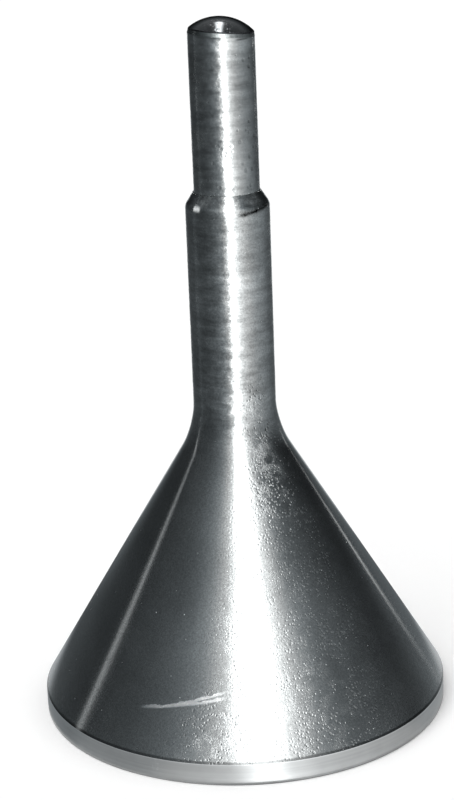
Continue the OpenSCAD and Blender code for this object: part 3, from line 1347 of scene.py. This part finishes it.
    def build_spring(self) -> None:
        """Winds the spring, closes its ends and grinds them flat."""
        steps = self.coil_steps
        Hand.let_go()
        bpy.ops.mesh.primitive_circle_add(
            vertices=self.wire_sides, radius=self.wire_radius * MM, fill_type="NGON",
            location=(self.coil_radius * MM, 0, self.wire_height(0) * MM),
            rotation=(math.pi / 2, 0, 0),
        )
        spring = Hand.name_new("spring_coil")
        Hand.open_mesh()
        for i in range(self.spring_turns * steps):
            Hand.lift(self.wire_height((i + 1) / steps) - self.wire_height(i / steps))
            bpy.ops.transform.rotate(
                value=-math.tau / steps, orient_axis="Z", center_override=(0, 0, 0)
            )
        for height, outer in ((self.bush_high, False), (self.spring_high, True)):
            bpy.ops.mesh.select_all(action="SELECT")
            bpy.ops.mesh.bisect(
                plane_co=(0, 0, height * MM), plane_no=(0, 0, 1), use_fill=True, clear_outer=outer,
                clear_inner=not outer,
            )
        Hand.tidy_mesh(spring, smooth_under=40.0)
        self.shop.dress(spring, WIRE_STEEL)
        self.shop.fit(spring, Body.BELL, Slot.SPRING, "return_spring")
        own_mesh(spring)


@dataclass
class SpringCarrier:
    """The loose washer between the spring and the punch. Sizes are in millimetres."""

    shop: Workshop
    inner_radius: float = 3.45
    outer_radius: float = 5.3
    low: float = 71.0
    high: float = 71.8
    edge: float = 0.12

    def build(self) -> None:
        """Builds, dresses and fits the washer."""
        inner, outer, low, high = self.inner_radius, self.outer_radius, self.low, self.high
        path = ((inner, low), (outer, low), (outer, high), (inner, high))
        outline = [Corner(radius, height, self.edge, steps=2) for radius, height in path]
        washer = self.shop.lathe.turn("washer_body", outline)
        self.shop.complete(washer, WASHER_STEEL, Body.CARRIER, Slot.SPRING, "thrust_washer")


@dataclass
class PunchAssembly:
    """The rod that is struck, its stop ring and its stem. Sizes are in millimetres."""

    shop: Workshop
    rod_radius: float = 5.0
    lip_height: float = 73.3
    head_height: float = 106.1
    head_bevel: float = 0.15
    head_bevel_height: float = 0.7
    head_dark_height: float = 0.2
    bevel_round: float = 0.6
    dome_round: float = 0.1
    dome_rise: float = 1.85
    dome_rings: int = 20
    head_tilt: float = -5.0
    tilt_reach: float = 0.5
    bevel_reach: float = 0.2
    dark_low: float = 0.22
    dark_high: float = 0.06
    spigot_radius: float = 3.3
    spigot_low: float = 57.1
    hidden_edge: float = 0.3
    hidden_reach: float = 0.1
    thread_radius: float = 2.0
    thread_height: float = 10.0
    thread_room: float = 1.0
    thread_pitch: float = 0.7
    thread_runout: float = 0.5
    ring_radius: float = 5.5
    ring_height: float = 1.5
    ring_round: float = 0.2
    stem_radius: float = 2.5
    point_low: float = 26.86
    point_height: float = 4.33
    point_reach: float = 0.1
    flat_depth: float = 0.4
    flats_height: float = 5.0
    cutter_breadth: float = 1.2

    def build(self) -> None:
        """Builds, dresses and fits the three pieces."""
        self.build_rod()
        self.build_stop_ring()
        self.build_stem()

    @property
    def bevel_low(self) -> float:
        """Height at which the bevel round the head starts."""
        return self.head_height - self.head_bevel_height

    def on_bevel(self, radius: float, height: float) -> bool:
        """Tells whether a face is on the bevel round the head."""
        return self.bevel_low - self.bevel_reach < height < self.head_height - self.dark_low

    def on_edge(self, radius: float, height: float) -> bool:
        """Tells whether a face is on the sharp edge between the bevel and the dome."""
        return self.head_height - self.dark_low <= height < self.head_height + self.dark_high

    def on_head(self, radius: float, height: float) -> bool:
        """Tells whether a face is on the domed head."""
        return height >= self.head_height + self.dark_high

    def on_lower_end(self, radius: float, height: float) -> bool:
        """Tells whether a face is on the rod's hidden lower end."""
        return height < self.lip_height + self.hidden_reach

    def on_point(self, radius: float, height: float) -> bool:
        """Tells whether a face is on the stem's ground point."""
        return height < self.point_low + self.point_height - self.point_reach

    def build_rod(self) -> None:
        """Turns the rod with its domed head, its thin lower end and its tapped hole."""
        hole_top = self.spigot_low + self.thread_height + self.thread_room
        edge = self.rod_radius - self.head_bevel
        sphere = (edge**2 + self.dome_rise**2) / (2 * self.dome_rise)
        apex = self.head_height + self.dome_rise
        dark = self.head_dark_height / self.head_bevel_height
        start = math.acos(edge / sphere)
        dome = arc_corners(apex - sphere, sphere, start, math.pi / 2, self.dome_rings)
        outline = [
            Corner(self.thread_radius, hole_top),
            Corner(self.thread_radius, self.spigot_low),
            Corner(self.spigot_radius, self.spigot_low, self.hidden_edge),
            Corner(self.spigot_radius, self.lip_height),
            Corner(self.rod_radius, self.lip_height),
            Corner(self.rod_radius, self.bevel_low, self.bevel_round),
            Corner(edge + self.head_bevel * dark, self.head_height - self.head_dark_height),
            Corner(dome[0].radius, dome[0].height, self.dome_round),
            *dome[1:-1],
        ]
        rod = self.shop.lathe.turn("rod_body", outline, hole_top, apex)
        Hand.tidy_mesh(rod)
        zones = [
            (ROD_BEVEL, self.on_bevel),
            (ROD_EDGE_SHADE, self.on_edge),
            (ROD_HEAD, self.on_head),
            (ROD_INSIDE, self.on_lower_end),
        ]
        self.shop.dress(rod, ROD_SIDE, zones)
        self.tilt_head(rod)
        Hand.weigh_normals(rod)
        self.shop.fit(rod, Body.PUNCH, Slot.ROD, "striker_rod")

    def tilt_head(self, rod: Piece) -> None:
        """Tilts the head a little, as it was ground by eye.

        Args:
            rod: The rod.
        """
        low = self.bevel_low
        Hand.take(rod)
        bpy.ops.object.mode_set(mode="EDIT")
        Hand.pick(rod, lambda radius, height: height > low - self.tilt_reach)
        bpy.ops.transform.rotate(
            value=math.radians(self.head_tilt), orient_axis="Y",
            center_override=(0, 0, (low + self.head_bevel_height / 2) * MM),
        )
        bpy.ops.object.mode_set(mode="OBJECT")

    def build_stop_ring(self) -> None:
        """Turns the ring that is pressed on under the rod."""
        low = self.lip_height - self.ring_height
        outline = [
            Corner(self.spigot_radius, low),
            Corner(self.ring_radius, low, self.ring_round),
            Corner(self.ring_radius, self.lip_height, self.ring_round),
            Corner(self.spigot_radius, self.lip_height),
        ]
        ring = self.shop.lathe.turn("ring_body", outline)
        self.shop.complete(ring, RING_STEEL, Body.PUNCH, Slot.HARDENED, "stop_ring")

    def build_stem(self) -> None:
        """Turns the pointed stem with its ring thread and cuts its two spanner flats."""
        low, edge, runout = self.spigot_low, self.hidden_edge, self.thread_runout
        top = low + self.thread_height
        width = 2 * self.stem_radius
        outline = [
            Corner(self.stem_radius, self.point_low + self.point_height),
            Corner(self.stem_radius, low),
            Corner(self.thread_radius, low),
            *thread_corners(self.thread_radius, low + runout, top - runout, self.thread_pitch),
            Corner(self.thread_radius, top - edge),
            Corner(self.thread_radius - edge, top),
        ]
        stem = self.shop.lathe.turn("stem_body", outline, self.point_low, top)
        Hand.tidy_mesh(stem, smooth_under=25.0)
        middle = low - edge - self.flats_height / 2
        for side in (-1, 1):
            Hand.let_go()
            bpy.ops.mesh.primitive_cube_add(
                size=width * MM, location=(0, side * (width - self.flat_depth) * MM, middle * MM),
                scale=(self.cutter_breadth, 1.0, self.flats_height / width),
            )
            Hand.cut_away(stem, Hand.name_new("flat_cutter"))
        self.shop.complete(
            stem, STEM_STEEL, Body.PUNCH, Slot.HARDENED, "punch_stem",
            [(STEM_POINT, self.on_point)], smooth_under=25.0,
        )


@dataclass(frozen=True)
class FloorPool:
    """A lighter or darker part of the tent's floor, close to the rim. Angles are in radians."""

    middle: float
    half: float
    soft: float
    radiance: float
    both_sides: bool = False


@dataclass(frozen=True)
class Slit:
    """A narrow opening in the tent's wall. Angles are in degrees, heights in tent radii."""

    azimuth: float
    half_width: float
    height: float
    half_height: float
    soft: float
    radiance: float


Stops = tuple[tuple[float, float], ...]


@dataclass
class Tent:
    """The tent of light and dark cloth over the object, which only the steel reflects.

    A stop is an azimuth, in degrees to the right of the camera, and a radiance. A span is the
    range of a value and the outcomes at its two ends. Radius, hole and gap are in millimetres,
    distances in metres, angles in radians and heights in tent radii.
    """

    radius: float = 900.0
    hole: float = 32.2
    gap: float = 0.4
    segments: int = 96
    rings: int = 22
    top_angle: float = 88.0
    peak: float = 5.0
    low_stops: Stops = (
        (-180, 1.6), (-166, 0.9), (-158, 0.15), (-140, 0.09), (-112, 0.1), (-103, 0.15),
        (-94, 0.11), (-70, 0.115), (-48, 0.18), (-32, 0.3), (-20, 0.52), (-12, 0.9), (-5, 1.9),
        (0, 4.0), (3, 5.0), (10, 5.0), (14, 3.4), (20, 2.3), (28, 1.75), (40, 1.22), (54, 0.9),
        (66, 0.7), (80, 0.54), (95, 0.42), (110, 0.31), (122, 0.22), (136, 0.16), (156, 0.15),
        (166, 0.9), (180, 1.6),
    )
    high_stops: Stops = (
        (-180, 0.02), (-150, 0.03), (-130, 0.05), (-112, 0.05), (-95, 0.072), (-76, 0.1),
        (-60, 0.15), (-45, 0.26), (-33, 0.45), (-24, 0.75), (-15, 1.3), (-8, 1.9), (-3, 5.0),
        (16, 5.0), (21, 2.6), (28, 1.6), (34, 1.1), (42, 0.6), (48, 0.37), (56, 0.24),
        (66, 0.14), (80, 0.08), (95, 0.05), (120, 0.02), (150, 0.02), (180, 0.02),
    )
    far_floor: Span = (0.35, 0.9, 1.0, 0.76)
    near_floor: Span = (0.04, 0.055, 1.0, 0.0)
    near_share: Span = (2.2, 2.7, 0.5, 0.1)
    near_light: Span = (1.6, 2.9, 0.6, 0.4)
    pools: tuple[FloorPool, ...] = (
        FloorPool(1.34, 0.2, 0.26, -0.24, both_sides=True), FloorPool(-0.22, 0.12, 0.2, 0.22),
        FloorPool(0.1, 0.03, 0.11, 0.9),
    )
    wall_low: float = 0.05
    hem: Span = (1.2, 1.9, 0.46, 0.12)
    crown: Span = (0.84, 0.93, 1.0, 0.0)
    slits: tuple[Slit, ...] = (
        Slit(-104.0, 1.3, 0.28, 0.12, 0.05, 0.84), Slit(137.5, 1.2, 0.04, 0.03, 0.006, 1.5)
    )
    slit_soft: float = 0.01
    strip_across: tuple[float, float, float] = (0.03, 0.01, 0.1)
    strip_height: Span = (0.82, 0.86, 0.0, 1.0)
    strip_front: Span = (-0.22, -0.14, 0.0, 1.0)
    strip_radiance: float = 27.0
    brink: Span = (0.8, 2.4, 0.9, 0.44)
    over_brink: Span = (0.0, 0.14, 0.0, 1.0)
    ceiling: Span = (0.58, 0.74, 0.15, 0.6)
    dim_tint: tuple[float, float, float, float] = (0.88, 0.975, 1.035, 1.0)
    tint_span: Span = (0.0, 1.1, 0.0, 1.0)

    def build(self) -> None:
        """Puts up the tent."""
        wall = arc_corners(self.gap, self.radius, 0.0, math.radians(self.top_angle), self.rings)
        outline = [Corner(self.hole, self.gap), *wall]
        tent = Lathe(self.segments).turn("studio_tent", outline, end_pole=self.gap + self.radius)
        tent.data.materials.append(self.cloth())
        tent.visible_camera = False
        tent.visible_diffuse = False
        tent.visible_shadow = False
        tent.visible_transmission = False

    def cloth(self) -> bpy.types.Material:
        """Gives the tent's cloth, bright in some directions and dark in others.

        Returns:
            The material.
        """
        material = bpy.data.materials.new("studio_tent_cloth")
        bench = NodeBench.cleared(material)
        place = bench.add("ShaderNodeTexCoord").outputs["Object"]
        parts, angle = bench.round_axis(place)
        aside = bench.math("ABSOLUTE", angle)
        across, back, height = (
            bench.math("DIVIDE", parts[axis], self.radius * MM) for axis in ("X", "Y", "Z")
        )
        floor = self.floor_cloth(bench, place, angle, aside)
        wall = bench.span(height, self.wall_low, bench.span(aside, *self.hem))
        level = bench.blend(wall, floor, self.ring_of_cloth(bench, angle, self.high_stops))
        level = bench.times(level, bench.span(height, *self.crown))
        lamps = []
        for slit in self.slits:
            turn, half = math.radians(slit.azimuth), math.radians(slit.half_width)
            lamp = bench.near(angle, turn, half, self.slit_soft)
            tall = bench.near(height, slit.height, slit.half_height, slit.soft)
            lamps.append(bench.times(bench.times(lamp, tall), slit.radiance / self.peak))
        strip = bench.near(across, *self.strip_across)
        strip = bench.times(strip, bench.span(height, *self.strip_height))
        strip = bench.times(strip, bench.span(back, *self.strip_front))
        lamps.append(bench.times(strip, self.strip_radiance / self.peak))
        brink = bench.span(aside, *self.brink)
        over = bench.span(bench.less(height, brink), *self.over_brink)
        ceiling = bench.times(bench.span(height, *self.ceiling), 1 / self.peak)
        for lamp in (*lamps, bench.times(ceiling, over)):
            level = bench.math("MAXIMUM", level, lamp)
        power = bench.times(level, self.peak)
        feeds = {0: bench.span(power, *self.tint_span), 6: self.dim_tint, 7: WHITE}
        tint = bench.add("ShaderNodeMix", feeds, data_type="RGBA").outputs[2]
        glow = bench.add("ShaderNodeEmission", {"Color": tint, "Strength": power})
        bench.add("ShaderNodeOutputMaterial", {"Surface": glow.outputs[0]})
        return material

    def floor_cloth(self, bench: NodeBench, place: Socket, angle: Socket, aside: Socket) -> Socket:
        """Adds the nodes of the tent's floor, which has light and dark pools near the rim.

        Args:
            bench: The nodes of the cloth.
            place: The point.
            angle: Its angle to the right of the camera.
            aside: The size of that angle.

        Returns:
            The brightness, as a share of the tent's peak.
        """
        away = bench.add("ShaderNodeVectorMath", {0: place}, operation="LENGTH").outputs["Value"]
        low = self.ring_of_cloth(bench, angle, self.low_stops)
        low = bench.times(low, bench.span(away, *self.far_floor))
        pool = bench.times(bench.span(aside, *self.near_light), 1 / self.peak)
        for part in self.pools:
            side = aside if part.both_sides else angle
            share = bench.near(side, part.middle, part.half, part.soft)
            pool = bench.onto(share, part.radiance / self.peak, pool)
        close = bench.onto(low, bench.span(aside, *self.near_share), pool)
        return bench.blend(bench.span(away, *self.near_floor), low, close)

    def ring_of_cloth(self, bench: NodeBench, angle: Socket, stops: Stops) -> Socket:
        """Adds the ramp that gives one ring of cloth its light and dark parts.

        Args:
            bench: The nodes of the cloth.
            angle: The point's angle to the right of the camera.
            stops: The stops of the ramp, from the back round to the back.

        Returns:
            The brightness, as a share of the tent's peak.
        """
        node = bench.add("ShaderNodeValToRGB", {0: bench.onto(angle, 1 / math.tau, 0.5)})
        ramp = node.color_ramp
        while len(ramp.elements) > 1:
            ramp.elements.remove(ramp.elements[-1])
        for index, (azimuth, radiance) in enumerate(stops):
            where = azimuth / 360 + 0.5
            element = ramp.elements.new(where) if index else ramp.elements[0]
            element.position = where
            element.color = (radiance / self.peak,) * 3 + (1.0,)
        return bench.add("ShaderNodeSeparateColor", {0: node.outputs[0]}).outputs[0]


@dataclass
class Studio:
    """The pale floor, the soft light and the white surroundings. Angles are in degrees."""

    floor_size: float = 10.0
    floor_tone: float = 0.95
    floor_lift: float = 0.1
    sky_level: float = 0.55
    sun_level: float = 1.6
    sun_spread: float = 50.0
    sun_lean: tuple[float, float] = (24.0, -20.0)

    def build(self) -> None:
        """Builds the floor, the light, the tent and the world."""
        self.build_floor()
        self.build_sun()
        Tent().build()
        self.build_world()

    def build_floor(self) -> None:
        """Lays a plain pale floor that takes the object's shadow."""
        Hand.let_go()
        bpy.ops.mesh.primitive_plane_add(size=self.floor_size, location=(0, 0, 0))
        floor = Hand.name_new("studio_floor")
        material = bpy.data.materials.new("studio_floor_paint")
        bench = NodeBench.cleared(material)
        tone = (self.floor_tone,) * 3 + (1.0,)
        paint = bench.add("ShaderNodeBsdfDiffuse", {"Color": tone, "Roughness": 0.0})
        lift = bench.times(self.seen_rays(bench), self.floor_lift)
        glow = bench.add("ShaderNodeEmission", {"Color": WHITE, "Strength": lift})
        both = bench.add("ShaderNodeAddShader", {0: paint.outputs[0], 1: glow.outputs[0]})
        bench.add("ShaderNodeOutputMaterial", {"Surface": both.outputs[0]})
        floor.data.materials.append(material)

    def build_sun(self) -> None:
        """Hangs a wide soft light overhead."""
        Hand.let_go()
        bpy.ops.object.light_add(type="SUN", rotation=(*map(math.radians, self.sun_lean), 0))
        sun = bpy.context.active_object
        sun.name = "soft_overhead_light"
        sun.data.energy = self.sun_level
        sun.data.angle = math.radians(self.sun_spread)
        sun.visible_glossy = False

    @staticmethod
    def seen_rays(bench: NodeBench) -> Socket:
        """Gives 1 for what the camera sees, directly, in a reflection or through glass.

        Args:
            bench: The nodes to add it to.

        Returns:
            1 or 0.
        """
        path = bench.add("ShaderNodeLightPath").outputs
        seen = bench.math("MAXIMUM", path["Is Camera Ray"], path["Is Glossy Ray"])
        return bench.math("MAXIMUM", seen, path["Is Transmission Ray"])

    def build_world(self) -> None:
        """Makes the world white where it is seen and a soft fill elsewhere."""
        world = bpy.data.worlds.new("studio_world")
        bpy.context.scene.world = world
        bench = NodeBench.cleared(world)
        level = bench.onto(self.seen_rays(bench), 1.0 - self.sky_level, self.sky_level)
        shade = bench.add("ShaderNodeBackground", {"Color": WHITE, "Strength": level})
        bench.add("ShaderNodeOutputWorld", {"Surface": shade.outputs[0]})


@dataclass(frozen=True)
class PhotoCamera:
    """The camera at the photograph's viewing angle. Angles are in degrees, places in metres."""

    place: tuple[float, float, float] = (0.0, -0.2797, 0.1358)
    lens: float = 85.01
    sensor: float = 36.0
    down: float = 17.177
    turn: float = -0.2443
    roll: float = -2.211
    nearest: float = 0.02
    farthest: float = 20.0

    def build(self) -> None:
        """Sets up the camera and makes it the scene's own."""
        Hand.let_go()
        bpy.ops.object.camera_add(location=self.place)
        camera = bpy.context.active_object
        camera.name = "photo_camera"
        camera.data.lens = self.lens
        camera.data.sensor_width = self.sensor
        camera.data.clip_start = self.nearest
        camera.data.clip_end = self.farthest
        aim = Matrix.Rotation(-math.radians(self.turn), 4, "Z")
        tilt = Matrix.Rotation(math.radians(90 - self.down), 4, "X")
        roll = Matrix.Rotation(math.radians(self.roll), 4, "Z")
        camera.matrix_world = Matrix.Translation(self.place) @ aim @ tilt @ roll
        bpy.context.scene.camera = camera


def write_sizes() -> None:
    """Brings the view layer up to date; it writes nothing."""
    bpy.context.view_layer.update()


def main() -> None:
    """Builds the camera, the pieces and the studio, in order."""
    logging.basicConfig(level=logging.INFO, format="%(name)s: %(message)s")
    bpy.context.scene.view_settings.view_transform = "Standard"
    PhotoCamera().build()
    shop = Workshop(Lathe(), Effects())
    for assembly in (BellAssembly, SpringCarrier, PunchAssembly):
        assembly(shop).build()
    Studio().build()
    Hand.let_go()
    write_sizes()


if __name__ == "__main__":
    main()
